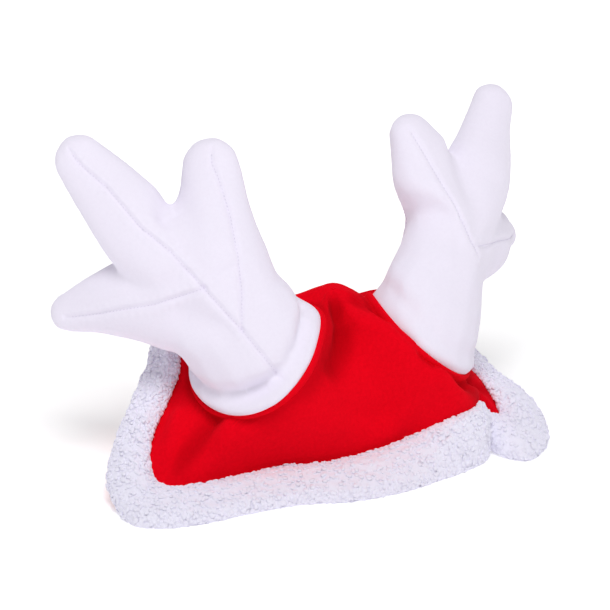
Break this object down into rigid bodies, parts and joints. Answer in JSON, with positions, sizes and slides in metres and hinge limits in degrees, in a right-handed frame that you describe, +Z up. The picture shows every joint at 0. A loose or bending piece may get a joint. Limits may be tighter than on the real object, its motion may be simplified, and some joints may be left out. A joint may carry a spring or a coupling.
{
  "type": "reindeer hat",
  "caption": "Soft red felt hat with a white curly pile trim round the hem and two stuffed white antlers sewn into the crown.",
  "frame": {"origin": "on the table, under the middle of the hat's bounding box", "axes": "+Z up from the table, -Y towards the wearer's brow, +X across the antlers"},
  "size_m": [0.3882, 0.1983, 0.248],
  "materials": {
    "red_felt": "matt brushed fleece felt",
    "white_pile": "curly woolly pile",
    "white_felt": "matt stuffed felt"
  },
  "bodies": {
    "root": {"crown": "red_felt", "trim": "white_pile", "antler_left": "white_felt", "antler_right": "white_felt"}
  },
  "joints": []
}
